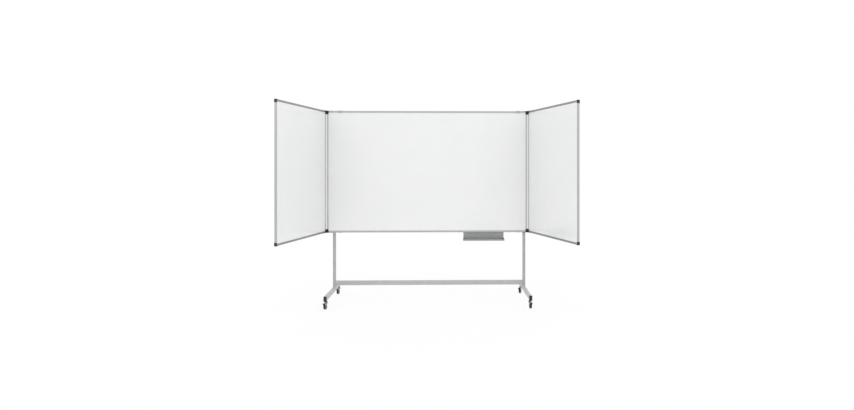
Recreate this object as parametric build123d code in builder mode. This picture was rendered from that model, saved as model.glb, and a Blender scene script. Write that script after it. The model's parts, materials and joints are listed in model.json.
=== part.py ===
from build123d import *
from math import cos, radians, sin
import os

# A whiteboard of three boards on a wheeled stand: x to the right, y to the back, z up.
# The origin is on the floor, midway between the two posts. All sizes are in millimetres.

# Boards; the shift is how far the centre board hangs to the right of the posts' middle
board_width = 2000
board_height = 1210
board_bottom = 668
board_shift = -20
meeting_gap = 6
core_thickness = 9
sheet_thickness = 0.5

# Aluminium section round each board
frame_face = 18
frame_depth = 15
frame_wall = 1.5
frame_round = 2
groove_depth = 8
groove_clearance = 0.2

# Plastic corners that join the section
corner_width = 20
hinge_corner_height = 34
free_corner_height = 28
corner_skin = 1.5
corner_round = 7
corner_edge = 0.8
tenon_length = 30
tenon_clearance = 0.15
tongue_reach = 62

# Hinges between the centre board and the wings
left_wing_swing = 102
right_wing_swing = 106
closed_gap = 6
hinge_setback = 1
knuckle_radius = 6
knuckle_gap = 0.3
knuckle_shoulder = 6
turning_clearance = 0.6
pin_radius = 2.5
pin_clearance = 0.05
pin_head_radius = 3.8
pin_head_height = 1.6

# Screws through the corners' tongues
corner_screw_reach = 46
corner_screw_radius = 1.6
corner_screw_head = 3
corner_screw_length = 8
screw_clearance = 0.1

# Stand of flat steel tube
post_inset = 50
tube_narrow = 25
tube_wide = 45
tube_wall = 1.5
tube_round = 5
post_below_top = 12
foot_front = 460
foot_rear = 270
crossbar_height = 160
end_plate = 4

# Plastic caps in the ends of the tubes
foot_cap_thickness = 12
foot_cap_round = 4
post_cap_thickness = 4
post_cap_round = 1.5
cap_plug_length = 8
cap_clearance = 0.2

# Brackets between the posts and the centre board
bracket_thickness = 2.5
bracket_drop = 80
bracket_below_corner = 6
arm_beside_corner = 11
arm_width = 42
hook_lip = 20
hook_clearance = 0.2

# Bolts and screws of the stand
bolt_radius = 3
bolt_head_radius = 5.5
bolt_head_height = 3.5
bolt_spacing = 25
bolt_clearance = 0.2
crossbar_bolt_length = 36
board_screw_radius = 2
board_screw_head_radius = 4
board_screw_head_height = 2.2
board_screw_length = 8

# Pen tray hung on the bottom rail
tray_width = 403
tray_offset = 561
tray_sheet = 1.5
tray_drop = 80
tray_shelf = 62
tray_lip = 14
tray_hook = 1.8
tray_bend = 2
tray_clearance = 0.3
tray_cap_thickness = 2.5
tray_cap_rise = 24

# Castors
front_castor_inset = 60
rear_castor_inset = 31
castor_trail = 20
front_left_turn = 14
front_right_turn = 6
rear_left_turn = 12
rear_right_turn = -24
wheel_radius = 25
wheel_width = 18
tyre_thickness = 6
tyre_round = 3
hub_recess = 3
hub_rim = 3
hub_boss_radius = 7
axle_radius = 3
axle_head_radius = 5
axle_head_height = 1.6
running_clearance = 0.08
wheel_side_gap = 0.8
fork_plate = 2.5
fork_crown = 3
fork_crown_bottom = 54
fork_cheek_radius = 8
housing_radius = 15
housing_height = 9
housing_round = 3
stem_radius = 5
stem_above_nut = 2
stem_head_radius = 7
stem_head_height = 2.2
collar_radius = 9
swivel_gap = 0.3
castor_height = 80
weld_nut_radius = 9
weld_nut_height = 10

# Brake levers
lever_ahead = 19
lever_above = 24
lever_barrel = 4
lever_ear = 5.5
lever_stub = 2
lever_side_gap = 0.4
cam_radius = 2
cam_reach = 3.2
cam_lead = 25
pedal_rise = 20
pedal_length = 25
pedal_width = 26
pedal_thickness = 3
pedal_start = 9

os.makedirs("parts", exist_ok=True)

# Sizes that follow from the ones above
up = Vector(0, 0, 1)
board_middle = board_bottom + board_height / 2
board_top = board_bottom + board_height
board_back = -tube_wide / 2 - bracket_thickness
board_front = board_back - frame_depth
wing_width = (board_width - meeting_gap) / 2
groove_width = core_thickness + 2 * sheet_thickness + 2 * groove_clearance
panel_inset = frame_face - groove_depth + groove_clearance
chamber_face = frame_face - groove_depth - 2 * frame_wall
chamber_depth = frame_depth - 2 * frame_wall
hinge_offset = board_width / 2 + hinge_setback
hinge_line = board_front - closed_gap / 2
knuckle_height = (hinge_corner_height + corner_skin - knuckle_gap) / 2
post_middle = board_width / 2 - post_inset
arm_outer = board_width / 2 - abs(board_shift) - tongue_reach - arm_beside_corner
arm_inner = arm_outer - arm_width
bracket_start = hinge_corner_height + bracket_below_corner
foot_top = castor_height + tube_wide
post_top = board_top - post_below_top


def write(builder, name):
    """Names a finished piece and writes it to its file."""
    builder.part.label = name
    export_step(builder.part, f"parts/{name}.step")


def face_plane(centre, right):
    """A board's own plane at mid depth: x to the reader's right, y up, z towards the reader."""
    return Plane(origin=centre, x_dir=right, z_dir=right.cross(up))


def wing_face(side):
    """The plane of a wing, swung open from flat against the centre board; side 1 is the right."""
    swing = radians(right_wing_swing if side > 0 else left_wing_swing)
    outward = Vector(-side * cos(swing), -sin(swing), 0)
    reader = (outward * side).cross(up)
    hinge = Vector(board_shift + side * hinge_offset, hinge_line, board_middle)
    centre = hinge + outward * (hinge_setback + wing_width / 2)
    return face_plane(centre - reader * ((closed_gap + frame_depth) / 2), outward * side)


centre_face = face_plane(Vector(board_shift, (board_front + board_back) / 2, board_middle), Vector(1, 0, 0))


# Frames: lengths of one extrusion, square cut, between the corners


def frame_bar(start, inward, along, length, holes=()):
    """One length of the section, its outside edge on the start point, with holes drilled through."""
    with BuildPart() as bar:
        with BuildSketch(Plane(origin=start, x_dir=inward, z_dir=along)):
            with Locations((frame_face / 2, 0)):
                RectangleRounded(frame_face, frame_depth, frame_round)
            with Locations((frame_wall + chamber_face / 2, 0)):
                Rectangle(chamber_face, chamber_depth, mode=Mode.SUBTRACT)
            with Locations((frame_face - groove_depth / 2, 0)):
                Rectangle(groove_depth, groove_width, mode=Mode.SUBTRACT)
        extrude(amount=length)
        for place, radius, depth in holes:
            with BuildSketch(place):
                Circle(radius + screw_clearance)
            extrude(amount=depth, mode=Mode.SUBTRACT)
    return bar


def rail(face, width, level, hinged_sides, more_holes=()):
    """The top rail (level 1) or bottom rail (level -1) of a board."""
    length = width - 2 * corner_width
    start = face.from_local_coords(Vector(-length / 2, level * board_height / 2, 0))
    places = [corner_screw_place(face, width, side, level) for side in hinged_sides]
    holes = [(place, corner_screw_radius, corner_skin + frame_wall) for place in places]
    return frame_bar(start, face.y_dir * -level, face.x_dir, length, holes + list(more_holes))


def stile(face, width, side, corner_height):
    """The upright bar of a board at the reader's right (side 1) or left (side -1)."""
    length = board_height - 2 * corner_height
    start = face.from_local_coords(Vector(side * width / 2, -length / 2, 0))
    return frame_bar(start, face.x_dir * -side, face.y_dir, length)


# Boards: a core with a thin sheet on each side, held in the frame's groove


def panel(face, width, start, thickness):
    """One layer of a board, from a distance in front of its middle."""
    with BuildPart() as layer:
        with BuildSketch(face.offset(start)):
            Rectangle(width - 2 * panel_inset, board_height - 2 * panel_inset)
        extrude(amount=thickness)
    return layer


def core(face, width):
    return panel(face, width, -core_thickness / 2, core_thickness)


def front_sheet(face, width):
    return panel(face, width, core_thickness / 2, sheet_thickness)


def back_sheet(face, width):
    return panel(face, width, -core_thickness / 2 - sheet_thickness, sheet_thickness)


# Corners: plastic blocks with tenons into the section's chambers


def countersunk(place, grow=0, mode=Mode.ADD):
    """A countersunk screw along a plane's normal, its head's top on the plane."""
    with BuildSketch(place) as head:
        Circle(corner_screw_head + grow)
    extrude(head.sketch, amount=corner_screw_head - corner_screw_radius, taper=45, mode=mode)
    with BuildSketch(place) as shank:
        Circle(corner_screw_radius + grow)
    extrude(shank.sketch, amount=corner_screw_length + grow, mode=mode)


def corner_screw_place(face, width, side, level):
    """Where a corner's screw goes in, on the outside of its tongue."""
    across = side * (width / 2 - corner_screw_reach)
    point = face.from_local_coords(Vector(across, level * (board_height / 2 + corner_skin), 0))
    return Plane(origin=point, x_dir=face.x_dir, z_dir=face.y_dir * -level)


def frame_corner(face, width, side, level, knuckle=""):
    """The corner of a board at side and level; knuckle is "low" or "high" at a hinge."""

    def block(inner, outer, near, far, half_depth, mode=Mode.ADD):
        """A block from inner to outer along the rail and from near to far along the stile."""
        across = side * (width / 2 - (inner + outer) / 2)
        upward = level * (board_height / 2 - (near + far) / 2)
        with BuildSketch(face) as outline:
            with Locations((across, upward)):
                Rectangle(outer - inner, far - near)
        extrude(outline.sketch, amount=half_depth, both=True, mode=mode)

    edge = 0 if knuckle else -corner_skin
    height = hinge_corner_height if knuckle else free_corner_height
    tenon_start = frame_wall + tenon_clearance
    tenon_end = frame_wall + chamber_face - tenon_clearance
    tenon_half = chamber_depth / 2 - tenon_clearance
    groove_start = frame_face - groove_depth
    shell_half = frame_depth / 2 + corner_skin
    with BuildPart() as corner:
        block(edge, corner_width, -corner_skin, frame_face, shell_half)
        block(edge, frame_face, -corner_skin, height, shell_half)
        if not knuckle:
            tip = Vector(side * (width / 2 + corner_skin), level * (board_height / 2 + corner_skin), 0)
            outer_edge = corner.edges().filter_by(Axis((0, 0, 0), face.z_dir))
            fillet(outer_edge.sort_by_distance(face.from_local_coords(tip))[0], corner_round)
        rims = corner.faces().filter_by(Axis((0, 0, 0), face.z_dir))
        fillet(rims.edges(), corner_edge)
        block(groove_start, corner_width, groove_start, height, groove_width / 2, Mode.SUBTRACT)
        block(corner_width, corner_width + tenon_length, tenon_start, tenon_end, tenon_half)
        block(tenon_start, tenon_end, height, height + tenon_length, tenon_half)
        if knuckle:
            block(corner_width - corner_skin, tongue_reach, -corner_skin, 0, frame_depth / 2)
            screw_place = corner_screw_place(face, width, side, level)
            countersunk(screw_place, screw_clearance, Mode.SUBTRACT)
            add_knuckle(face, width, side, level, knuckle)
    return corner


def add_knuckle(face, width, side, level, knuckle):
    """Joins a knuckle to a corner, and clears the room in which the other corner's one turns."""
    low = board_height / 2 - hinge_corner_height if level > 0 else -board_height / 2 - corner_skin
    half = (hinge_corner_height + corner_skin) / 2
    own = low if knuckle == "low" else low + half + knuckle_gap / 2
    other = low + half if knuckle == "low" else low
    across = side * (width / 2 + hinge_setback)
    forward = (frame_depth + closed_gap) / 2

    def level_plane(height):
        axis = face.from_local_coords(Vector(across, height, forward))
        return Plane(origin=axis, x_dir=face.x_dir, z_dir=up)

    with BuildSketch(level_plane(other)) as room:
        Circle(knuckle_radius + turning_clearance)
    extrude(room.sketch, amount=half, mode=Mode.SUBTRACT)
    web_x = hinge_setback + knuckle_shoulder
    web_y = closed_gap / 2 + knuckle_shoulder
    with BuildSketch(level_plane(own)) as barrel:
        Circle(knuckle_radius)
        with Locations((-side * web_x / 2, web_y / 2)):
            Rectangle(web_x, web_y)
    extrude(barrel.sketch, amount=knuckle_height)
    with BuildSketch(level_plane(low)) as bore:
        Circle(pin_radius + pin_clearance)
    extrude(bore.sketch, amount=2 * half, mode=Mode.SUBTRACT)


def group(pieces, name):
    """Writes several solids as one node."""
    with BuildPart() as together:
        add(pieces)
    write(together, name)


def board_screw_place(side, level):
    """Where a screw goes from behind through a bracket's arm into a rail of the centre board."""
    x = side * (arm_inner + arm_outer) / 2
    z = board_middle + level * (board_height / 2 - frame_wall - chamber_face / 2)
    return Plane(origin=(x, board_back + bracket_thickness, z), x_dir=(1, 0, 0), z_dir=(0, -1, 0))


# Centre board
for level, name in ((1, "centre_top_rail"), (-1, "centre_bottom_rail")):
    holes = [(board_screw_place(side, level), board_screw_radius, board_screw_length) for side in (-1, 1)]
    write(rail(centre_face, board_width, level, (-1, 1), holes), name)
write(stile(centre_face, board_width, -1, hinge_corner_height), "centre_left_stile")
write(stile(centre_face, board_width, 1, hinge_corner_height), "centre_right_stile")
write(core(centre_face, board_width), "centre_core")
write(front_sheet(centre_face, board_width), "centre_writing_sheet")
write(back_sheet(centre_face, board_width), "centre_back_sheet")

corners = [(side, level) for side in (-1, 1) for level in (-1, 1)]
hinge_corners = [frame_corner(centre_face, board_width, side, level, "low").part for side, level in corners]
group(hinge_corners, "centre_hinge_corners")

# The screws of the centre board: into its corners and, from behind, through the brackets
with BuildPart() as centre_screws:
    for side, level in corners:
        countersunk(corner_screw_place(centre_face, board_width, side, level))
        place = board_screw_place(side, level)
        with BuildSketch(place):
            Circle(board_screw_radius)
        extrude(amount=board_screw_length)
        with BuildSketch(place):
            Circle(board_screw_head_radius)
        extrude(amount=-board_screw_head_height)
write(centre_screws, "centre_board_screws")

# Wings, which carry the high knuckles and so rest on the centre board's low ones
for side, name in ((-1, "left_wing"), (1, "right_wing")):
    wing = wing_face(side)
    write(rail(wing, wing_width, 1, (-side,)), f"{name}_top_rail")
    write(rail(wing, wing_width, -1, (-side,)), f"{name}_bottom_rail")
    write(stile(wing, wing_width, -side, hinge_corner_height), f"{name}_hinge_stile")
    write(stile(wing, wing_width, side, free_corner_height), f"{name}_free_stile")
    write(core(wing, wing_width), f"{name}_core")
    group([front_sheet(wing, wing_width).part, back_sheet(wing, wing_width).part], f"{name}_writing_sheets")
    hinged = [frame_corner(wing, wing_width, -side, level, "high").part for level in (-1, 1)]
    group(hinged, f"{name}_hinge_corners")
    free = [frame_corner(wing, wing_width, side, level).part for level in (-1, 1)]
    group(free, f"{name}_free_corners")
    with BuildPart() as wing_screws:
        for level in (-1, 1):
            countersunk(corner_screw_place(wing, wing_width, -side, level))
    write(wing_screws, f"{name}_corner_screws")

# Hinge pins: the upper pair drops in from above, the lower pair is pushed up from below
pin_starts = ((board_top + corner_skin + knuckle_gap, -1), (board_bottom - corner_skin, 1))
with BuildPart() as hinge_pins:
    for side in (-1, 1):
        for start, reach in pin_starts:
            place = Plane((board_shift + side * hinge_offset, hinge_line, start))
            with BuildSketch(place):
                Circle(pin_radius)
            extrude(amount=reach * (hinge_corner_height + corner_skin))
            with BuildSketch(place):
                Circle(pin_head_radius)
            extrude(amount=-reach * pin_head_height)
write(hinge_pins, "hinge_pins")


# Stand: one flat tube makes the posts, the feet and the crossbar


def tube_section():
    """The flat tube's section, its wide side along y."""
    RectangleRounded(tube_narrow, tube_wide, tube_round)
    inside = (tube_narrow - 2 * tube_wall, tube_wide - 2 * tube_wall)
    RectangleRounded(*inside, tube_round - tube_wall, mode=Mode.SUBTRACT)


def bolt_hole(place, length):
    """Clears a bolt's hole along a plane's normal."""
    with BuildSketch(place) as hole:
        Circle(bolt_radius + bolt_clearance)
    extrude(hole.sketch, amount=length, mode=Mode.SUBTRACT)


def crossbar_bolt_places(side):
    """The two bolts through a post into the crossbar's end."""
    outer = side * (post_middle + tube_narrow / 2)
    heights = (crossbar_height - bolt_spacing / 2, crossbar_height + bolt_spacing / 2)
    return [Plane(origin=(outer, 0, z), x_dir=(0, 1, 0), z_dir=(-side, 0, 0)) for z in heights]


def bracket_bolt_places(side):
    """The bolts from behind through a post into its upper and lower brackets."""
    reach = (bracket_drop + bracket_start) / 2
    heights = (board_bottom + reach, board_top - reach)
    spread = (-bolt_spacing / 2, bolt_spacing / 2)
    x = side * post_middle
    points = [(x, tube_wide / 2, z + step) for z in heights for step in spread]
    return [Plane(origin=point, x_dir=(1, 0, 0), z_dir=(0, -1, 0)) for point in points]


for side, name in ((-1, "left_post"), (1, "right_post")):
    with BuildPart() as post:
        with BuildSketch(Plane((side * post_middle, 0, foot_top))):
            tube_section()
        extrude(amount=post_top - foot_top)
        for place in crossbar_bolt_places(side):
            bolt_hole(place, tube_narrow)
        for place in bracket_bolt_places(side):
            bolt_hole(place, tube_wide)
    write(post, name)

crossbar_half = post_middle - tube_narrow / 2
with BuildPart() as crossbar:
    crossbar_end = Plane(origin=(-crossbar_half, 0, crossbar_height), x_dir=(0, 1, 0), z_dir=(1, 0, 0))
    with BuildSketch(crossbar_end):
        tube_section()
    extrude(amount=2 * crossbar_half)
    for side in (-1, 1):
        with BuildSketch(Plane.YZ.offset(side * crossbar_half)):
            with Locations((0, crossbar_height)):
                RectangleRounded(tube_narrow, tube_wide, tube_round)
        extrude(amount=-side * end_plate)
        for place in crossbar_bolt_places(side):
            bolt_hole(place, tube_narrow + end_plate)
write(crossbar, "crossbar")

# Bolts: the short ones hold the crossbar, the long ones the brackets
with BuildPart() as stand_bolts:
    for side in (-1, 1):
        short = [(place, crossbar_bolt_length) for place in crossbar_bolt_places(side)]
        long = [(place, tube_wide + bracket_thickness) for place in bracket_bolt_places(side)]
        for place, length in short + long:
            with BuildSketch(place):
                Circle(bolt_radius)
            extrude(amount=length)
            with BuildSketch(place):
                Circle(bolt_head_radius)
            extrude(amount=-bolt_head_height)
write(stand_bolts, "stand_bolts")

# Feet: level tubes with a nut welded inside over each castor
foot_start = -foot_front + foot_cap_thickness
foot_end = foot_rear - foot_cap_thickness
castor_rows = (-foot_front + front_castor_inset, foot_rear - rear_castor_inset)
for side, name in ((-1, "left_foot"), (1, "right_foot")):
    foot_middle = (side * post_middle, foot_start, castor_height + tube_wide / 2)
    with BuildPart() as foot:
        with BuildSketch(Plane(origin=foot_middle, x_dir=(1, 0, 0), z_dir=(0, 1, 0))):
            tube_section()
        extrude(amount=foot_end - foot_start)
        for y in castor_rows:
            with BuildSketch(Plane((side * post_middle, y, castor_height + tube_wall))):
                Circle(weld_nut_radius)
            extrude(amount=weld_nut_height)
            with BuildSketch(Plane((side * post_middle, y, castor_height))):
                Circle(stem_radius + bolt_clearance)
            extrude(amount=tube_wall + weld_nut_height, mode=Mode.SUBTRACT)
    write(foot, name)


def tube_cap(place, thickness, rounding):
    """A plastic cap on a tube's end, from the end outwards along the plane's normal."""
    with BuildPart() as cap:
        with BuildSketch(place):
            RectangleRounded(tube_narrow, tube_wide, tube_round)
        extrude(amount=thickness)
        outward = Axis(place.origin, place.z_dir)
        fillet(cap.faces().filter_by(outward).sort_by(outward)[-1].edges(), rounding)
        inset = 2 * (tube_wall + cap_clearance)
        with BuildSketch(place):
            RectangleRounded(tube_narrow - inset, tube_wide - inset, tube_round - inset / 2)
        extrude(amount=-cap_plug_length)
    return cap.part


caps = []
for side in (-1, 1):
    caps.append(tube_cap(Plane((side * post_middle, 0, post_top)), post_cap_thickness, post_cap_round))
    for y, way in ((foot_start, -1), (foot_end, 1)):
        end = (side * post_middle, y, castor_height + tube_wide / 2)
        end_plane = Plane(origin=end, x_dir=(1, 0, 0), z_dir=(0, way, 0))
        caps.append(tube_cap(end_plane, foot_cap_thickness, foot_cap_round))
group(caps, "tube_end_caps")

# Brackets: plates on the fronts of the posts, each with an arm inboard of the board's corners
plate_back = board_back + bracket_thickness
plate_outer = post_middle + tube_narrow / 2


def plate(side, inner, outer, back, front, bottom, top):
    """A flat piece of bracket, on its side of the stand."""
    with BuildSketch(Plane.XY.offset(bottom)) as outline:
        with Locations((side * (inner + outer) / 2, (back + front) / 2)):
            Rectangle(outer - inner, back - front)
    extrude(outline.sketch, amount=top - bottom)


def bracket_holes(side):
    """Clears the bolts and the screws out of the brackets of one side."""
    for place in bracket_bolt_places(side):
        bolt_hole(place, tube_wide + bracket_thickness)
    for level in (-1, 1):
        with BuildSketch(board_screw_place(side, level)) as hole:
            Circle(board_screw_radius + screw_clearance)
        extrude(hole.sketch, amount=bracket_thickness, mode=Mode.SUBTRACT)


# The upper arms fold over the top rail and down its front
hook_bottom = board_top + hook_clearance
hook_top = hook_bottom + bracket_thickness
lip_back = board_front - hook_clearance
lip_front = lip_back - bracket_thickness
arm = (arm_inner, arm_outer)
with BuildPart() as upper_brackets:
    for side in (-1, 1):
        low = board_top - bracket_drop
        plate(side, arm_inner, plate_outer, plate_back, board_back, low, board_top - bracket_start)
        plate(side, *arm, plate_back, board_back, board_top - bracket_start, hook_top)
        plate(side, *arm, board_back, lip_front, hook_bottom, hook_top)
        plate(side, *arm, lip_back, lip_front, board_top - hook_lip, hook_bottom)
        bracket_holes(side)
write(upper_brackets, "upper_brackets")

# The lower arms fold forwards under the bottom rail and carry it
ledge_bottom = board_bottom - bracket_thickness
with BuildPart() as lower_brackets:
    for side in (-1, 1):
        high = board_bottom + bracket_drop
        plate(side, arm_inner, plate_outer, plate_back, board_back, board_bottom + bracket_start, high)
        plate(side, *arm, plate_back, board_back, ledge_bottom, board_bottom + bracket_start)
        plate(side, *arm, board_back, board_front + frame_round, ledge_bottom, board_bottom)
        bracket_holes(side)
write(lower_brackets, "lower_brackets")

# Pen tray: one bent sheet hooked over the bottom rail's inner edge from behind
tray_left = board_shift + tray_offset - tray_width / 2
tray_bottom = board_bottom - tray_drop
tray_plate = board_back + tray_clearance + tray_sheet / 2
tray_front = tray_plate - tray_shelf
tray_hook_height = board_bottom + frame_face + tray_clearance + tray_sheet / 2
tray_floor = tray_bottom + tray_sheet / 2
with BuildPart() as pen_tray:
    with BuildSketch(Plane.YZ.offset(tray_left)):
        with BuildLine():
            Line((board_back - tray_hook, tray_hook_height), (tray_plate, tray_hook_height))
            FilletPolyline(
                (tray_plate, tray_hook_height),
                (tray_plate, tray_floor),
                (tray_front, tray_floor),
                (tray_front, tray_bottom + tray_lip),
                radius=tray_bend,
            )
        trace(line_width=tray_sheet)
    extrude(amount=tray_width)
write(pen_tray, "pen_tray")

with BuildPart() as tray_caps:
    for x, way in ((tray_left, -1), (tray_left + tray_width, 1)):
        with BuildSketch(Plane.YZ.offset(x)):
            with BuildLine():
                Polyline(
                    (tray_plate + tray_sheet / 2, tray_bottom),
                    (tray_plate + tray_sheet / 2, tray_bottom + tray_cap_rise),
                    (tray_plate - tray_sheet / 2, tray_bottom + tray_cap_rise),
                    (tray_front - tray_sheet / 2, tray_bottom + tray_lip),
                    (tray_front - tray_sheet / 2, tray_bottom),
                    close=True,
                )
            make_face()
        extrude(amount=way * tray_cap_thickness)
write(tray_caps, "tray_end_caps")

# Castors: each trails from its stem, as the stand was last pushed
fork_half = wheel_width / 2 + wheel_side_gap
fork_outer = fork_half + fork_plate
housing_bottom = fork_crown_bottom + fork_crown
housing_top = housing_bottom + housing_height
hub_radius = wheel_radius - tyre_thickness
lever_half = fork_half - lever_side_gap
lever_x = castor_trail + lever_ahead
lever_z = wheel_radius + lever_above


def disc(place, radius, length, mode=Mode.ADD):
    """A round piece from a plane along its normal."""
    with BuildSketch(place) as circle:
        Circle(radius)
    extrude(circle.sketch, amount=length, mode=mode)


with BuildPart() as stems:
    for side in (-1, 1):
        for y in castor_rows:
            head = fork_crown_bottom - swivel_gap
            tip = castor_height + tube_wall + weld_nut_height + stem_above_nut
            collar = housing_top + swivel_gap
            disc(Plane((side * post_middle, y, head)), stem_head_radius, -stem_head_height)
            disc(Plane((side * post_middle, y, head)), stem_radius, tip - head)
            disc(Plane((side * post_middle, y, collar)), collar_radius, castor_height - collar)
write(stems, "castor_stems")

castors = (
    ("front_left_castor", -1, castor_rows[0], front_left_turn),
    ("front_right_castor", 1, castor_rows[0], front_right_turn),
    ("rear_left_castor", -1, castor_rows[1], rear_left_turn),
    ("rear_right_castor", 1, castor_rows[1], rear_right_turn),
)
for name, side, y, turn in castors:
    trail = Vector(side * sin(radians(turn)), -cos(radians(turn)), 0)
    stem = Vector(side * post_middle, y, 0)

    def upright(offset, x=0, z=0):
        """A plane square to the axle at a distance along it; its x trails from the stem, its y is up."""
        axle = up.cross(trail)
        return Plane(origin=stem + trail * x + up * z + axle * offset, x_dir=trail, z_dir=axle * -1)

    with BuildPart() as fork:
        for way in (-1, 1):
            with BuildSketch(upright(way * fork_outer)):
                with BuildLine():
                    Polyline(
                        (castor_trail - fork_cheek_radius, wheel_radius),
                        (castor_trail - housing_radius, housing_bottom),
                        (lever_x + lever_ear / 2, housing_bottom),
                        (lever_x + lever_ear, lever_z),
                        (castor_trail + fork_cheek_radius, wheel_radius),
                        close=True,
                    )
                make_face()
                with Locations((castor_trail, wheel_radius)):
                    Circle(fork_cheek_radius)
                with Locations((lever_x, lever_z)):
                    Circle(lever_ear)
            extrude(amount=way * fork_plate)
        crown_middle = stem + trail * (castor_trail - housing_radius) / 2 + up * fork_crown_bottom
        with BuildSketch(Plane(origin=crown_middle, x_dir=trail)):
            Rectangle(housing_radius + castor_trail, 2 * fork_outer)
        extrude(amount=fork_crown)
        swivel = Plane(origin=stem + up * fork_crown_bottom, x_dir=trail)
        disc(swivel, housing_radius, fork_crown + housing_height)
        fillet(fork.faces().sort_by(Axis.Z)[-1].edges(), housing_round)
        disc(swivel, stem_radius + running_clearance, fork_crown + housing_height, Mode.SUBTRACT)
        disc(upright(fork_outer, castor_trail, wheel_radius), axle_radius, 2 * fork_outer, Mode.SUBTRACT)
        stub_hole = lever_stub + running_clearance
        disc(upright(fork_outer, lever_x, lever_z), stub_hole, 2 * fork_outer, Mode.SUBTRACT)
    write(fork, f"{name}_fork")

    with BuildPart() as axle:
        disc(upright(fork_outer, castor_trail, wheel_radius), axle_radius, 2 * fork_outer)
        for way in (-1, 1):
            head = upright(way * fork_outer, castor_trail, wheel_radius)
            disc(head, axle_head_radius, -way * axle_head_height)
    write(axle, f"{name}_axle")

    rim = upright(wheel_width / 2, castor_trail, wheel_radius)
    with BuildPart() as tyre:
        disc(rim, wheel_radius, wheel_width)
        fillet(tyre.edges().filter_by(GeomType.CIRCLE), tyre_round)
        disc(rim, hub_radius, wheel_width, Mode.SUBTRACT)
    write(tyre, f"{name}_tyre")

    with BuildPart() as hub:
        disc(rim, hub_radius, wheel_width)
        for way in (-1, 1):
            with BuildSketch(upright(way * wheel_width / 2, castor_trail, wheel_radius)):
                Circle(hub_radius - hub_rim)
                Circle(hub_boss_radius, mode=Mode.SUBTRACT)
            extrude(amount=way * hub_recess, mode=Mode.SUBTRACT)
        disc(rim, axle_radius + running_clearance, wheel_width, Mode.SUBTRACT)
    write(hub, f"{name}_hub")

    with BuildPart() as lever:
        barrel = upright(lever_half, lever_x, lever_z)
        disc(barrel, lever_barrel, 2 * lever_half)
        disc(upright(fork_outer, lever_x, lever_z), lever_stub, 2 * fork_outer)
        to_wheel = Vector(-lever_ahead, -lever_above, 0).normalized()
        cam = to_wheel.rotate(Axis.Z, cam_lead) * cam_reach
        with BuildSketch(barrel):
            with Locations((cam.X, cam.Y)):
                Circle(cam_radius)
        extrude(amount=2 * lever_half)
        pedal_tilt = Rot(0, 0, pedal_rise)
        pedal_middle = lever_barrel - pedal_thickness / 2
        with BuildSketch(barrel):
            with Locations(pedal_tilt * Pos((pedal_length + pedal_start) / 4, pedal_middle)):
                Rectangle((pedal_length + pedal_start) / 2, pedal_thickness)
        extrude(amount=2 * lever_half)
        with BuildSketch(upright(pedal_width / 2, lever_x, lever_z)):
            with Locations(pedal_tilt * Pos((pedal_length + pedal_start) / 2, pedal_middle)):
                Rectangle(pedal_length - pedal_start, pedal_thickness)
        extrude(amount=pedal_width)
    write(lever, f"{name}_brake_lever")
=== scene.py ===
import bpy
import bmesh
import json
from math import cos, radians, sin
from mathutils import Matrix, Vector


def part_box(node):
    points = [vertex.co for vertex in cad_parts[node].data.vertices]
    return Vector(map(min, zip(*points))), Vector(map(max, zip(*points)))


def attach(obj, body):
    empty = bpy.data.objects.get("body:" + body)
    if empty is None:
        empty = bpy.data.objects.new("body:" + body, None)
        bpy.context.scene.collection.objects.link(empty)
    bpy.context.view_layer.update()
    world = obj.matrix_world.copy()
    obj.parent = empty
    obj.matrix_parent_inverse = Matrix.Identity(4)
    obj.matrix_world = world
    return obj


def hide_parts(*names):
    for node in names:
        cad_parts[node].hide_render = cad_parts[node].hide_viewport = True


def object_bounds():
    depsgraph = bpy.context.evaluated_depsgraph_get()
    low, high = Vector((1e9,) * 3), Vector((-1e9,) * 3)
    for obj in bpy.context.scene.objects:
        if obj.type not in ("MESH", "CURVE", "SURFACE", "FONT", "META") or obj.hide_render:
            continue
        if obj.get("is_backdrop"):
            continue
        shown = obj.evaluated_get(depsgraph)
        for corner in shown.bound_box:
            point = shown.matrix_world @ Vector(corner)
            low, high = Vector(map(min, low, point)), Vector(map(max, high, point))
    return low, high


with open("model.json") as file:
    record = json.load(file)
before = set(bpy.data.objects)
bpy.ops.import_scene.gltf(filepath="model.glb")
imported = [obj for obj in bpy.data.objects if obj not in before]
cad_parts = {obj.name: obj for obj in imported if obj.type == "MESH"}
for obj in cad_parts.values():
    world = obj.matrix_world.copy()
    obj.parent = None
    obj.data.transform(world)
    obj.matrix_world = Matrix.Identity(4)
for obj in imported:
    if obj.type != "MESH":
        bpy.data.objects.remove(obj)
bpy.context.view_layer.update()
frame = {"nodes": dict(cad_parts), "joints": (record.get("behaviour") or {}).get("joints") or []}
nodes = frame["nodes"]
STAND = "stand_and_centre_board"

# The camera stands a little right of the board's middle, at a low eye height, and looks
# level, with the picture shifted down to take in the castors.
eye = bpy.data.cameras.new("camera")
eye.sensor_width = 36
eye.lens = 23.73
eye.shift_x = -0.0332
eye.shift_y = -0.0437
camera = bpy.data.objects.new("camera", eye)
camera.location = (0.1413, -5.659, 1.313)
camera.rotation_euler = (radians(90), 0, radians(-1.198))
bpy.context.scene.collection.objects.link(camera)
bpy.context.scene.camera = camera
bpy.context.scene.view_settings.view_transform = "Standard"

# The studio: a white sweep of floor under an even white sky. Near the stand the floor
# takes its soft shadow, and further out it runs into the white of the sky.
sky = bpy.data.worlds.new("sky")
bpy.context.scene.world = sky
sky.use_nodes = True
sky.node_tree.nodes["Background"].inputs["Color"].default_value = (1, 1, 1, 1)

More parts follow.
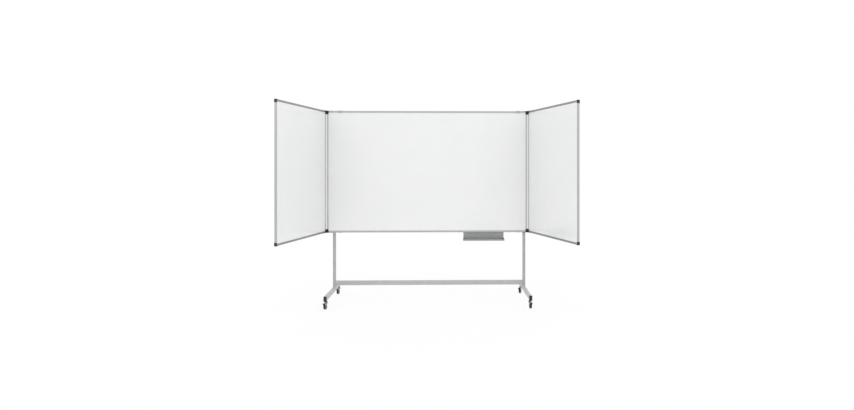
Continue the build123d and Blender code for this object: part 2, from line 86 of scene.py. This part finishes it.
shadow_edge = 1.2
white_edge = 2.6
white_near_stand = 0.86
bpy.ops.object.select_all(action="DESELECT")
bpy.ops.mesh.primitive_circle_add(vertices=96, radius=60, fill_type="TRIFAN", location=(0, 0, 0))
floor = bpy.context.object
floor.name = "studio_floor"
floor_paint = bpy.data.materials.new("studio_floor_paint")
floor_paint.use_nodes = True
tree = floor_paint.node_tree
shader = tree.nodes["Principled BSDF"]
shader.inputs["Base Color"].default_value = (0.95, 0.95, 0.95, 1)
shader.inputs["Roughness"].default_value = 0.9
shader.inputs["Specular IOR Level"].default_value = 0.0
place = tree.nodes.new("ShaderNodeTexCoord")
far = tree.nodes.new("ShaderNodeVectorMath")
far.operation = "LENGTH"
tree.links.new(place.outputs["Object"], far.inputs[0])
fade = tree.nodes.new("ShaderNodeMapRange")
fade.interpolation_type = "SMOOTHSTEP"
fade.inputs["From Min"].default_value = shadow_edge
fade.inputs["From Max"].default_value = white_edge
fade.inputs["To Min"].default_value = white_near_stand
tree.links.new(far.outputs["Value"], fade.inputs["Value"])
looked_at = tree.nodes.new("ShaderNodeLightPath")
white_share = tree.nodes.new("ShaderNodeMath")
white_share.operation = "MULTIPLY"
tree.links.new(fade.outputs["Result"], white_share.inputs[0])
tree.links.new(looked_at.outputs["Is Camera Ray"], white_share.inputs[1])
white = tree.nodes.new("ShaderNodeEmission")
blend = tree.nodes.new("ShaderNodeMixShader")
tree.links.new(white_share.outputs[0], blend.inputs["Fac"])
tree.links.new(shader.outputs[0], blend.inputs[1])
tree.links.new(white.outputs[0], blend.inputs[2])
tree.links.new(blend.outputs[0], tree.nodes["Material Output"].inputs["Surface"])
floor.data.materials.append(floor_paint)
floor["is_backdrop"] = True

# Three soft boxes: one each side of the camera, so that both wings read alike, and one
# behind, which keeps the back of the boards and the feet from going dull.
lamps_aim = Vector((0, -0.2, 1.0))
for lamp_name, at, side, power in (
    ("left_soft_box", (-3.6, -5.2, 3.6), 2.6, 18),
    ("right_soft_box", (3.6, -5.2, 3.6), 2.6, 18),
    ("rear_soft_box", (1.5, 5.0, 4.2), 3.0, 20),
):
    soft_box = bpy.data.lights.new(lamp_name, "AREA")
    soft_box.size = side
    soft_box.energy = power
    lamp = bpy.data.objects.new(lamp_name, soft_box)
    lamp.location = at
    lamp.rotation_euler = (lamps_aim - Vector(at)).to_track_quat("-Z", "Y").to_euler()
    bpy.context.scene.collection.objects.link(lamp)

# Posts, feet and crossbar: flat-sided steel tube, welded and bolted, with a silver-grey
# powder coat whose skin is faintly pebbled and a little duller where hands have rubbed it.


def new_finish(name, roughness, metallic=0.0, stretch=(1, 1, 1), turn=0.0):
    """Starts a finish in the piece's own place; turn swings its pattern, stretch squeezes it."""
    finish = bpy.data.materials.new(name)
    finish.use_nodes = True
    own = finish.node_tree
    skin = own.nodes["Principled BSDF"]
    skin.inputs["Roughness"].default_value = roughness
    skin.inputs["Metallic"].default_value = metallic
    here = own.nodes.new("ShaderNodeTexCoord")
    turned = own.nodes.new("ShaderNodeMapping")
    turned.inputs["Rotation"].default_value = (0, 0, turn)
    squeezed = own.nodes.new("ShaderNodeMapping")
    squeezed.inputs["Scale"].default_value = stretch
    own.links.new(here.outputs["Object"], turned.inputs["Vector"])
    own.links.new(turned.outputs["Vector"], squeezed.inputs["Vector"])
    return finish, own, skin, squeezed.outputs["Vector"]


def cloud(own, where, size, detail=4.0, rough=0.55):
    """A noise whose lumps are about the given size, in metres."""
    noise = own.nodes.new("ShaderNodeTexNoise")
    noise.inputs["Scale"].default_value = 1.0 / size
    noise.inputs["Detail"].default_value = detail
    noise.inputs["Roughness"].default_value = rough
    own.links.new(where, noise.inputs["Vector"])
    return noise.outputs["Fac"]


def between(own, value, low, high, start=0.3, stop=0.7):
    """Spreads a noise over the range from low to high."""
    spread = own.nodes.new("ShaderNodeMapRange")
    for key, number in (("From Min", start), ("From Max", stop), ("To Min", low), ("To Max", high)):
        spread.inputs[key].default_value = number
    own.links.new(value, spread.inputs["Value"])
    return spread.outputs["Result"]


def tint(own, value, dark, light, start=0.3, stop=0.7):
    """Colours a noise from dark to light."""
    ramp = own.nodes.new("ShaderNodeValToRGB")
    ramp.color_ramp.elements[0].position = start
    ramp.color_ramp.elements[0].color = (*dark, 1)
    ramp.color_ramp.elements[1].position = stop
    ramp.color_ramp.elements[1].color = (*light, 1)
    own.links.new(value, ramp.inputs["Fac"])
    return ramp.outputs["Color"]


def relief(own, skin, value, height, strength):
    """Raises the skin by a noise, height in metres."""
    bump = own.nodes.new("ShaderNodeBump")
    bump.inputs["Strength"].default_value = strength
    bump.inputs["Distance"].default_value = height
    own.links.new(value, bump.inputs["Height"])
    own.links.new(bump.outputs["Normal"], skin.inputs["Normal"])


def dress(finish, *names):
    """Gives a finish to nodes of the frame."""
    for name in names:
        for held in nodes[name].material_slots:
            held.material = finish


def powder_coat(name, dark, light, roughness):
    """Baked paint: broad changes of tone, rubbed patches and a fine pebbled skin."""
    finish, own, skin, where = new_finish(name, roughness)
    broad = cloud(own, where, size=0.18)
    own.links.new(tint(own, broad, dark, light), skin.inputs["Base Color"])
    rubbed = cloud(own, where, size=0.05, detail=6)
    own.links.new(between(own, rubbed, roughness - 0.06, roughness + 0.08), skin.inputs["Roughness"])
    pebbles = cloud(own, where, size=0.0016, detail=2)
    relief(own, skin, pebbles, height=0.00012, strength=0.35)
    return finish


# The posts wear the same coat as the tubes. Their copy is made darker, which is painted shade.
post_coat_painted_shade = powder_coat("silver_grey_post_coat", (0.37, 0.38, 0.39), (0.42, 0.43, 0.44), 0.42)
tube_coat = powder_coat("silver_grey_tube_coat", (0.44, 0.45, 0.46), (0.49, 0.50, 0.51), 0.42)
dress(post_coat_painted_shade, "left_post", "right_post")
dress(tube_coat, "crossbar", "left_foot", "right_foot")

# Welds: a short ripple of filler along the front and the back of each post's bottom edge,
# painted over with the tubes.
post_low, post_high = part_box("right_post")
post_middle = (post_low.x + post_high.x) / 2
post_half_width = (post_high.x - post_low.x) / 2
post_half_depth = post_high.y
foot_top = post_low.z
weld_length = 0.019
weld_radius = 0.0024
weld_steps = 18
weld_valley = 0.86
weld_end = 0.45
weld_off_edge = 0.0004
hair = 0.0001


def choose(piece, test, kind="faces"):
    """In edit mode, selects only the faces, edges or verts that pass a test."""
    bpy.context.tool_settings.mesh_select_mode = (kind == "verts", kind == "edges", kind == "faces")
    bpy.ops.mesh.select_all(action="DESELECT")
    shape = bmesh.from_edit_mesh(piece.data)
    for bit in getattr(shape, kind):
        if test(bit):
            bit.select_set(True)
    shape.select_flush_mode()
    bmesh.update_edit_mesh(piece.data)


def take(piece):
    """Makes a piece the only one selected."""
    bpy.ops.object.select_all(action="DESELECT")
    piece.select_set(True)
    bpy.context.view_layer.objects.active = piece


def merge(piece, others):
    """Joins other pieces into one."""
    take(piece)
    for other in others:
        other.select_set(True)
    bpy.ops.object.join()


def twin_of(model, name, place):
    """A copy of a piece, moved to a place."""
    twin = bpy.data.objects.new(name, model.data.copy())
    twin.data.transform(place)
    bpy.context.scene.collection.objects.link(twin)
    return twin


def gather(model, name, places):
    """Copies a modelled piece to each place and joins the copies; the model itself goes."""
    twins = [twin_of(model, name, place) for place in places]
    merge(twins[0], twins[1:])
    bpy.data.objects.remove(model)
    return twins[0]


def complete(piece, finish, slot, body, *stood_for):
    """Gives a finished piece its finish, its body and the nodes that it stands for."""
    take(piece)
    bpy.ops.object.shade_smooth_by_angle(angle=radians(38))
    level_faces = piece.modifiers.new("level_faces", "WEIGHTED_NORMAL")
    level_faces.keep_sharp = True
    bpy.ops.object.modifier_apply(modifier="level_faces")
    piece.data.materials.clear()
    piece.data.materials.append(finish)
    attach(piece, body)
    if stood_for:
        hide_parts(*stood_for)


def rod(sides, radius, length, rotation=(0, 0, 0), location=(0, 0, 0)):
    """A cylinder along z, turned and moved, with both worked into its shape."""
    bpy.ops.object.select_all(action="DESELECT")
    bpy.ops.mesh.primitive_cylinder_add(vertices=sides, radius=radius, depth=length,
                                        rotation=rotation, location=location)
    bpy.ops.object.transform_apply(location=True, rotation=True, scale=True)
    return bpy.context.object


along_x = (0, radians(90), 0)
along_y = (radians(90), 0, 0)
bead = rod(12, weld_radius, weld_length, along_x)
bpy.ops.object.mode_set(mode="EDIT")
choose(bead, lambda edge: abs(edge.verts[0].co.x - edge.verts[1].co.x) > weld_length / 2, "edges")
bpy.ops.mesh.subdivide(number_cuts=weld_steps - 1)
step = weld_length / weld_steps
choose(bead, lambda vert: round((vert.co.x + weld_length / 2) / step) % 2 == 1, "verts")
bpy.ops.transform.resize(value=(1, weld_valley, weld_valley), center_override=(0, 0, 0))
choose(bead, lambda vert: abs(vert.co.x) > weld_length / 2 - hair, "verts")
bpy.ops.transform.resize(value=(1, weld_end, weld_end), center_override=(0, 0, 0))
bpy.ops.object.mode_set(mode="OBJECT")
soft = bead.modifiers.new("flow", "SUBSURF")
soft.levels = soft.render_levels = 1
take(bead)
bpy.ops.object.modifier_apply(modifier="flow")
weld_y = post_half_depth + weld_off_edge
weld_height = foot_top + weld_off_edge
seams = [Matrix.Translation((side * post_middle, way * weld_y, weld_height))
         for side in (-1, 1) for way in (-1, 1)]
complete(gather(bead, "foot_welds", seams), tube_coat, "tube_paint", STAND)

# Caps in the ends of the tubes: black moulded plastic with a fine spark-eroded grain,
# pushed in by hand. Those in the feet have a lip that stands a little proud of the tube.


def moulded(name, dark, light, roughness, grain=0.0009):
    """Moulded plastic or rubber; grain is the size of the pebbles that its mould left."""
    finish, own, skin, where = new_finish(name, roughness)
    own.links.new(tint(own, cloud(own, where, size=0.012), dark, light), skin.inputs["Base Color"])
    worn = cloud(own, where, size=0.03, detail=5)
    own.links.new(between(own, worn, roughness - 0.07, roughness + 0.07), skin.inputs["Roughness"])
    relief(own, skin, cloud(own, where, size=grain, detail=2), height=0.0001, strength=0.45)
    return finish


def softened(node, name, width, segments=2, place=Matrix.Identity(4)):
    """A copy of a node's shape, moved to a place, with its edges rounded over."""
    twin = twin_of(nodes[node], name, place)
    take(twin)
    bpy.ops.object.mode_set(mode="EDIT")
    bpy.ops.mesh.select_all(action="SELECT")
    bpy.ops.mesh.remove_doubles(threshold=0.000002)
    bpy.ops.mesh.dissolve_limited(angle_limit=radians(0.5))
    bpy.ops.object.mode_set(mode="OBJECT")
    edge = twin.modifiers.new("rounded_edges", "BEVEL")
    edge.width = width
    edge.segments = segments
    edge.limit_method = "ANGLE"
    edge.angle_limit = radians(50)
    edge.use_clamp_overlap = False
    bpy.ops.object.modifier_apply(modifier="rounded_edges")
    return twin


foot_low, foot_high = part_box("right_foot")
foot_half_width = (foot_high.x - foot_low.x) / 2
foot_half_height = (foot_high.z - foot_low.z) / 2
foot_middle_height = (foot_high.z + foot_low.z) / 2
tube_round = 0.005
cap_lip = 0.0016
plug_margin = 0.0008
edge_margin = 0.0004
caps_apart = 0.02


def on_lip(point, middle):
    """Whether a point of the caps is outside the foot at middle, and not on a cap's plug."""
    across = abs(point.x - middle.x)
    upward = abs(point.z - middle.z)
    past = max(foot_low.y - point.y, point.y - foot_high.y)
    round_x = max(across - foot_half_width + tube_round, 0)
    round_z = max(upward - foot_half_height + tube_round, 0)
    wide = Vector((round_x, round_z)).length > tube_round - plug_margin
    own_cap = across < foot_half_width + caps_apart and upward < foot_half_height + caps_apart
    return own_cap and (past > edge_margin or past > -edge_margin and wide)


black_plastic = moulded("black_moulded_plastic", (0.008, 0.008, 0.009), (0.017, 0.017, 0.018), 0.42)
caps = softened("tube_end_caps", "moulded_tube_caps", 0.0003, 1)
bpy.ops.object.mode_set(mode="EDIT")
for side in (-1, 1):
    middle = Vector((side * post_middle, 0, foot_middle_height))
    choose(caps, lambda vert: on_lip(vert.co, middle), "verts")
    grown = (1 + cap_lip / foot_half_width, 1, 1 + cap_lip / foot_half_height)
    bpy.ops.transform.resize(value=grown, center_override=middle)
bpy.ops.object.mode_set(mode="OBJECT")
complete(caps, black_plastic, "corner_plastic", STAND, "tube_end_caps")

# Bolts of the stand: domed socket heads, turned and zinc plated, two through each post
# into the crossbar and four from behind into its brackets.


def zinc_plate(name, dark, light, roughness):
    """Zinc plate or blackened steel: cloudy, with a fine unevenness in its shine."""
    finish, own, skin, where = new_finish(name, roughness, metallic=0.95)
    own.links.new(tint(own, cloud(own, where, size=0.009), dark, light), skin.inputs["Base Color"])
    uneven = cloud(own, where, size=0.003, detail=5)
    own.links.new(between(own, uneven, roughness - 0.08, roughness + 0.1), skin.inputs["Roughness"])
    relief(own, skin, cloud(own, where, size=0.0012, detail=2), height=0.00005, strength=0.3)
    return finish


def turned_screw(head_radius, head_height, shank_radius, shank_length, domed):
    """A screw along z, seated at height 0: a domed head stands above that, a flat one ends there."""
    bottom = -shank_length
    top = 0 if domed else -head_height
    spread = head_radius / shank_radius
    tip_taper = shank_radius * 0.25
    dome_round = head_height * 0.7
    screw = rod(32, shank_radius, top - bottom, location=(0, 0, (top + bottom) / 2))
    bpy.ops.object.mode_set(mode="EDIT")
    choose(screw, lambda face: face.normal.z < -0.9)
    bpy.ops.mesh.bevel(offset=tip_taper, segments=1, affect="EDGES")
    choose(screw, lambda face: face.normal.z > 0.9)
    if domed:
        bpy.ops.mesh.extrude_region_move()
        bpy.ops.transform.resize(value=(spread, spread, 1), center_override=(0, 0, 0))
        bpy.ops.mesh.extrude_region_move(TRANSFORM_OT_translate={"value": (0, 0, head_height)})
        bpy.ops.mesh.bevel(offset=dome_round, segments=5, affect="EDGES")
    else:
        bpy.ops.mesh.extrude_region_move(TRANSFORM_OT_translate={"value": (0, 0, head_height)})
        bpy.ops.transform.resize(value=(spread, spread, 1), center_override=(0, 0, 0))
        bpy.ops.mesh.bevel(offset=hair, segments=1, affect="EDGES")
    bpy.ops.object.mode_set(mode="OBJECT")
    return screw


def sink(screw, sides, radius, height, depth, stretch=(1, 1, 1), turn=0.0):
    """Sinks a driver's hole into a screw's head, from a height down to a depth below it."""
    bpy.ops.object.select_all(action="DESELECT")
    bpy.ops.mesh.primitive_cylinder_add(vertices=sides, radius=radius, depth=2 * depth,
                                        location=(0, 0, height), rotation=(0, 0, turn), scale=stretch)
    driver = bpy.context.object
    hole = screw.modifiers.new("driver_hole", "BOOLEAN")
    hole.operation = "DIFFERENCE"
    hole.object = driver
    take(screw)
    bpy.ops.object.modifier_apply(modifier="driver_hole")
    bpy.data.objects.remove(driver)


def facing(point, outward):
    """The place of a screw whose head looks outward from a point."""
    return Matrix.Translation(point) @ Vector(outward).to_track_quat("Z", "Y").to_matrix().to_4x4()


bolt_head = 0.0035
bolt_spacing = 0.025
bracket_plate_middle = 0.02
upper_low, upper_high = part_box("upper_brackets")
lower_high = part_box("lower_brackets")[1]
crossbar_low, crossbar_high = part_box("crossbar")
crossbar_level = (crossbar_low.z + crossbar_high.z) / 2
bracket_bolt_levels = (lower_high.z - bracket_plate_middle, upper_low.z + bracket_plate_middle)
bright_zinc = zinc_plate("bright_zinc_plate", (0.50, 0.51, 0.53), (0.66, 0.67, 0.69), 0.3)
bolt = turned_screw(head_radius=0.0055, head_height=bolt_head,
                    shank_radius=0.003, shank_length=0.036, domed=True)
sink(bolt, sides=6, radius=0.0024, height=bolt_head, depth=0.002)
bolt_places = []
for side in (-1, 1):
    for step in (-bolt_spacing / 2, bolt_spacing / 2):
        post_side = (side * (post_middle + post_half_width), 0, crossbar_level + step)
        bolt_places.append(facing(post_side, (side, 0, 0)))
        for height in bracket_bolt_levels:
            bolt_places.append(facing((side * post_middle, post_half_depth, height + step), (0, 1, 0)))
complete(gather(bolt, "socket_head_bolts", bolt_places), bright_zinc, "zinc_steel", STAND, "stand_bolts")

# Brackets: folded steel plate between the posts and the centre board, coated mid grey,
# its sheared edges rounded by the coat.
sheared_round = 0.0005
bracket_coat = powder_coat("mid_grey_powder_coat", (0.38, 0.39, 0.40), (0.43, 0.44, 0.45), 0.4)
for level in ("upper", "lower"):
    folded = softened(f"{level}_brackets", f"folded_{level}_brackets", sheared_round)
    complete(folded, bracket_coat, "bracket_paint", STAND, f"{level}_brackets")

# Frames: aluminium section, drawn through a die and anodised, so it carries fine lines
# along its length. Those of the wings' rails are turned as the wings stand at rest. It is
# one aluminium all round, but its copies differ in tone: the hinge stiles' copy is lighter,
# as painted light, and the wings' rails' copy much darker, as a painted dark reflection.


def anodised(name, tone, turn, upright):
    """Anodised aluminium with die lines along z, or along x turned about z."""
    fine = (260, 260, 1.2) if upright else (1.2, 260, 260)
    finish, own, skin, where = new_finish(name, 0.4, metallic=0.6, stretch=fine, turn=turn)
    lines = cloud(own, where, size=1, detail=3, rough=0.6)
    dark, light = [(shade, shade * 1.01, shade * 1.02) for shade in (tone * 0.9, tone * 1.1)]
    own.links.new(tint(own, lines, dark, light), skin.inputs["Base Color"])
    own.links.new(between(own, lines, 0.34, 0.48), skin.inputs["Roughness"])
    relief(own, skin, lines, height=0.00004, strength=0.4)
    return finish


wing_turns = {"right_wing": radians(74), "left_wing": radians(-78)}
dress(anodised("anodised_centre_rail", 0.46, 0, False), "centre_top_rail", "centre_bottom_rail")
# The hinge stiles: a lighter copy of the aluminium, which is painted light.
dress(anodised("anodised_hinge_stile", 0.55, 0, True), "centre_left_stile", "centre_right_stile",
      "left_wing_hinge_stile", "right_wing_hinge_stile")
dress(anodised("anodised_free_stile", 0.47, 0, True), "left_wing_free_stile", "right_wing_free_stile")
# The wings' rails: a much darker copy of the aluminium, which is a painted dark reflection.
for wing, turn in wing_turns.items():
    dress(anodised(f"anodised_{wing}_rail", 0.29, turn, False), f"{wing}_top_rail", f"{wing}_bottom_rail")

# Writing faces: thin steel sheet with a white vitreous enamel, smooth and glossy, with the
# faint haze that wiping leaves. The back of the centre board is bare galvanised steel.
enamel, own, skin, where = new_finish("white_enamel", 0.16)
haze = cloud(own, where, size=0.35, detail=5, rough=0.6)
own.links.new(tint(own, haze, (0.835, 0.84, 0.845), (0.86, 0.862, 0.865)), skin.inputs["Base Color"])
wiped = cloud(own, where, size=0.12, detail=6)
own.links.new(between(own, wiped, 0.14, 0.26), skin.inputs["Roughness"])
relief(own, skin, cloud(own, where, size=0.006, detail=2), height=0.00006, strength=0.12)
skin.inputs["Coat Weight"].default_value = 0.25
skin.inputs["Coat Roughness"].default_value = 0.08
dress(enamel, "centre_writing_sheet", "left_wing_writing_sheets", "right_wing_writing_sheets")

galvanised, own, skin, where = new_finish("galvanised_sheet", 0.38, metallic=0.85)
spangle = own.nodes.new("ShaderNodeTexVoronoi")
spangle.inputs["Scale"].default_value = 130
own.links.new(where, spangle.inputs["Vector"])
flake = own.nodes.new("ShaderNodeSeparateColor")
own.links.new(spangle.outputs["Color"], flake.inputs["Color"])
flake_tone = tint(own, flake.outputs["Red"], (0.47, 0.48, 0.495), (0.53, 0.54, 0.555), start=0, stop=1)
own.links.new(flake_tone, skin.inputs["Base Color"])
flake_shine = between(own, flake.outputs["Green"], 0.36, 0.44, start=0, stop=1)
own.links.new(flake_shine, skin.inputs["Roughness"])
relief(own, skin, cloud(own, where, size=0.02, detail=3), height=0.00008, strength=0.2)
dress(galvanised, "centre_back_sheet")

# Cores: paper honeycomb glued between the sheets, which keeps them flat. It is seen only
# where a board is cut open.
paper, own, skin, where = new_finish("paper_honeycomb", 0.85)
cells = own.nodes.new("ShaderNodeTexVoronoi")
cells.feature = "DISTANCE_TO_EDGE"
cells.inputs["Scale"].default_value = 80
own.links.new(where, cells.inputs["Vector"])
walls = cells.outputs["Distance"]
paper_tone = tint(own, walls, (0.32, 0.23, 0.13), (0.50, 0.38, 0.24), start=0, stop=0.15)
own.links.new(paper_tone, skin.inputs["Base Color"])
relief(own, skin, walls, height=0.0006, strength=0.6)
dress(paper, "centre_core", "left_wing_core", "right_wing_core")

# Corners: moulded black plastic, tapped onto the ends of the sections; those at the hinges
# carry the knuckles.
dress(black_plastic, "centre_hinge_corners", "left_wing_hinge_corners", "right_wing_hinge_corners",
      "left_wing_free_corners", "right_wing_free_corners")

# Screws of the boards: flat-headed ones with a cross slot hold the corners' tongues to the
# rails, and four round-headed ones hold the brackets' arms to the centre board.


def cross_slot(screw, height, reach, depth):
    """Sinks a cross slot into a screw's head."""
    for turn in (0, radians(90)):
        sink(screw, 4, reach, height, depth, (1, 0.3, 1), turn)


def flat_screw():
    """One of the screws that end flush with a corner's tongue."""
    screw = turned_screw(head_radius=0.003, head_height=0.0014,
                         shank_radius=0.0016, shank_length=0.008, domed=False)
    cross_slot(screw, height=0, reach=0.002, depth=0.0012)
    return screw


pan_head = 0.0022
arm_middle = 0.886
into_rail = 0.005
screw_reach = 0.954
rail_low, rail_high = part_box("centre_bottom_rail")[0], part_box("centre_top_rail")[1]
corner_low, corner_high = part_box("centre_hinge_corners")
core_low, core_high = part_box("centre_core")
board_middle = (core_low + core_high) / 2

pan = turned_screw(head_radius=0.004, head_height=pan_head,
                   shank_radius=0.002, shank_length=0.008, domed=True)
cross_slot(pan, height=pan_head, reach=0.0026, depth=0.0013)
pan_places = [facing((side * arm_middle, upper_high.y, height), (0, 1, 0))
              for side in (-1, 1) for height in (rail_low.z + into_rail, rail_high.z - into_rail)]
pans = gather(pan, "round_head_screws", pan_places)
flat_places = [facing((board_middle.x + side * screw_reach, board_middle.y, height), (0, 0, way))
               for side in (-1, 1) for height, way in ((corner_low.z, -1), (corner_high.z, 1))]
merge(pans, [gather(flat_screw(), "flat_head_screws", flat_places)])
complete(pans, bright_zinc, "zinc_steel", STAND, "centre_board_screws")
for wing in ("left_wing", "right_wing"):
    low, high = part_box(f"{wing}_corner_screws")
    across, along = (low.x + high.x) / 2, (low.y + high.y) / 2
    places = [facing((across, along, low.z), (0, 0, -1)), facing((across, along, high.z), (0, 0, 1))]
    wing_screws = gather(flat_screw(), f"{wing}_flat_screws", places)
    complete(wing_screws, bright_zinc, "zinc_steel", wing, f"{wing}_corner_screws")

# Hinge pins: steel pins with a domed head, dropped through the upper knuckles and pushed up
# through the lower ones, bright zinc plated.
pin_head_radius = 0.0038
pin_head = 0.0016
pin = turned_screw(head_radius=pin_head_radius, head_height=pin_head,
                   shank_radius=0.0025, shank_length=0.0355, domed=True)
low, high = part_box("hinge_pins")
pin_places = [facing((across, (low.y + high.y) / 2, height), (0, 0, way))
              for across in (low.x + pin_head_radius, high.x - pin_head_radius)
              for height, way in ((low.z + pin_head, -1), (high.z - pin_head, 1))]
complete(gather(pin, "domed_hinge_pins", pin_places), bright_zinc, "zinc_steel", STAND, "hinge_pins")

# Pen tray: one folded sheet, dark grey powder coat, hooked over the bottom rail, with
# plastic ends pushed on.
tray_coat = powder_coat("dark_grey_powder_coat", (0.32, 0.325, 0.33), (0.35, 0.355, 0.36), 0.45)
dress(tray_coat, "pen_tray")
tray_plastic = moulded("dark_grey_plastic", (0.10, 0.10, 0.105), (0.13, 0.13, 0.135), 0.45)
tray_ends = softened("tray_end_caps", "moulded_tray_ends", 0.0006, 3)
complete(tray_ends, tray_plastic, "tray_cap_plastic", "pen_tray_slide", "tray_end_caps")

# Castor stems: turned steel, blackened, with a collar below the foot, screwed up into the
# nuts welded in the feet.
blackened = zinc_plate("blackened_steel", (0.035, 0.035, 0.037), (0.07, 0.07, 0.073), 0.36)
dress(blackened, "castor_stems")

# Forks: pressed steel, zinc plated, duller than the bolts. Each castor is modelled about its
# own stem, with x along its trail and y along its axle, and then set in its place; at rest
# it trails forwards, turned outward by so many degrees.
castor_turns = {
    "front_left_castor": 14,
    "front_right_castor": 6,
    "rear_left_castor": 12,
    "rear_right_castor": -24,
}
castors = list(castor_turns)
joints = {joint["name"]: joint for joint in frame["joints"]}


def castor_place(castor):
    """Where a castor stands: its trail along x, its axle along y and its stem on the origin."""
    stem = joints[f"{castor}_turn"]["pos_m"]
    turn = radians(castor_turns[castor])
    outward = -1 if "left" in castor else 1
    trail = Vector((outward * sin(turn), -cos(turn), 0))
    axle = Vector((-trail.y, trail.x, 0))
    spot = Matrix((trail, axle, (0, 0, 1))).transposed().to_4x4()
    spot.translation = (stem[0], stem[1], 0)
    return spot


model_castor = castors[0]
home = castor_place(model_castor).inverted()
wheel_middle = home @ Vector(joints[f"{model_castor}_roll"]["pos_m"])
fork_outer = 0.0123
pressed_round = 0.0004
dull_zinc = zinc_plate("dull_zinc_plate", (0.25, 0.255, 0.26), (0.37, 0.375, 0.38), 0.38)
fork = softened(f"{model_castor}_fork", "pressed_fork", pressed_round, 2, home)

# Seals: a black plastic ring pressed into the housing on top of each fork's bearing, its
# upper side flattened, to keep the dirt out.
seal_radius = 0.0109
seal_thickness = 0.0022
seal_height = 0.066
seal_flat = seal_height + 0.0004
bpy.ops.object.select_all(action="DESELECT")
bpy.ops.mesh.primitive_torus_add(major_radius=seal_radius, minor_radius=seal_thickness / 2,
                                 major_segments=40, minor_segments=10, location=(0, 0, seal_height))
bpy.ops.object.transform_apply(location=True, rotation=True, scale=True)
seal = bpy.context.object
bpy.ops.object.mode_set(mode="EDIT")
choose(seal, lambda vert: vert.co.z > seal_flat, "verts")
bpy.ops.transform.resize(value=(1, 1, 0.5), center_override=(0, 0, seal_flat))
bpy.ops.object.mode_set(mode="OBJECT")

# Axles: a hexagon-headed bolt through the fork's cheeks, with its nut on the other side,
# both plated like the fork.
axle_radius = 0.003
axle_length = 0.0268
axle_round = 0.0006
hexagon_radius = 0.0055
hexagon_height = 0.0024
hexagon_round = 0.0004


def round_ends(piece, ends, width):
    """Rounds over the faces across y whose way, forwards or back, is among the ends."""
    take(piece)
    bpy.ops.object.mode_set(mode="EDIT")
    choose(piece, lambda face: round(face.normal.y) in ends)
    bpy.ops.mesh.bevel(offset=width, segments=2, affect="EDGES")
    bpy.ops.object.mode_set(mode="OBJECT")


axle = rod(24, axle_radius, axle_length, along_y, wheel_middle)
round_ends(axle, (-1, 1), axle_round)
for way in (-1, 1):
    seat = wheel_middle + Vector((0, way * (fork_outer + hexagon_height / 2), 0))
    hexagon = rod(6, hexagon_radius, hexagon_height, along_y, seat)
    round_ends(hexagon, (way,), hexagon_round)
    merge(axle, [hexagon])

# Hubs: grey moulded plastic, dished on both sides, with six ribs across each dish between
# the boss and the rim.
rib_middle = 0.0115
rib_height = 0.0071
rib_size = (0.0096, 0.0022, 0.0018)
rib_narrowing = 0.7
rib_round = 0.0003
ribs_in_dish = 6
hub = softened(f"{model_castor}_hub", "ribbed_hub", pressed_round, 2, home)
bpy.ops.object.select_all(action="DESELECT")
bpy.ops.mesh.primitive_cube_add(size=1, location=(rib_middle, 0, 0), scale=rib_size)
bpy.ops.object.transform_apply(location=True, rotation=True, scale=True)
rib = bpy.context.object
bpy.ops.object.mode_set(mode="EDIT")
choose(rib, lambda face: face.normal.y > 0.9)
bpy.ops.transform.resize(value=(1, 1, rib_narrowing), center_override=(rib_middle, 0, 0))
bpy.ops.mesh.bevel(offset=rib_round, segments=2, affect="EDGES")
bpy.ops.object.mode_set(mode="OBJECT")
rib_turn = radians(360 / ribs_in_dish)
rib_places = [Matrix.Translation(wheel_middle) @ Matrix.Rotation(rib_turn * number, 4, "Y")
              @ Matrix.Rotation(radians(180 * face), 4, "X") @ Matrix.Translation((0, rib_height, 0))
              for number in range(ribs_in_dish) for face in (0, 1)]
merge(hub, [gather(rib, "hub_ribs", rib_places)])

# Brake levers: black moulded plastic, a foot pedal with ridges across it, whose cam bears
# on the tyre.
lever_pivot = home @ Vector(joints[f"{model_castor}_brake_press"]["pos_m"])
pedal_rise = radians(20)
pedal_top = 0.004
ridge_reaches = (0.0118, 0.0148, 0.0178, 0.0208, 0.0234)
ridge_radius = 0.0009
ridge_length = 0.0215
ridge_round = 0.0004
lever = softened(f"{model_castor}_brake_lever", "foot_lever", pressed_round, 2, home)
ridge = rod(12, ridge_radius, ridge_length, along_y)
round_ends(ridge, (-1, 1), ridge_round)
ridge_places = []
for reach in ridge_reaches:
    on_pedal = Vector((reach * cos(pedal_rise) - pedal_top * sin(pedal_rise), 0,
                       reach * sin(pedal_rise) + pedal_top * cos(pedal_rise)))
    ridge_places.append(Matrix.Translation(lever_pivot + on_pedal))
merge(lever, [gather(ridge, "pedal_ridges", ridge_places)])

# The four castors: each gets its own copy of the fork, seal, axle, hub and lever, and a
# tyre of black rubber moulded onto the hub.
hub_plastic = moulded("grey_hub_plastic", (0.27, 0.27, 0.275), (0.32, 0.32, 0.325), 0.45)
lever_plastic = moulded("black_lever_plastic", (0.012, 0.012, 0.013), (0.02, 0.02, 0.021), 0.4)
rubber = moulded("black_rubber", (0.012, 0.012, 0.012), (0.024, 0.024, 0.023), 0.62, grain=0.0014)
dress(rubber, *(f"{castor}_tyre" for castor in castors))
parts_of_a_castor = (
    (fork, "pressed_fork", dull_zinc, "zinc_steel", "swivel", ("fork",)),
    (seal, "bearing_seal", black_plastic, "corner_plastic", "swivel", ()),
    (axle, "axle_bolt", dull_zinc, "zinc_steel", "swivel", ("axle",)),
    (hub, "ribbed_hub", hub_plastic, "hub_plastic", "wheel", ("hub",)),
    (lever, "foot_lever", lever_plastic, "lever_plastic", "brake", ("brake_lever",)),
)
for model, name, finish, slot, body, stood_for in parts_of_a_castor:
    for castor in castors:
        twin = twin_of(model, f"{castor}_{name}", castor_place(castor))
        complete(twin, finish, slot, f"{castor}_{body}", *(f"{castor}_{node}" for node in stood_for))
    bpy.data.objects.remove(model)

bpy.context.view_layer.update()
low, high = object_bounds()
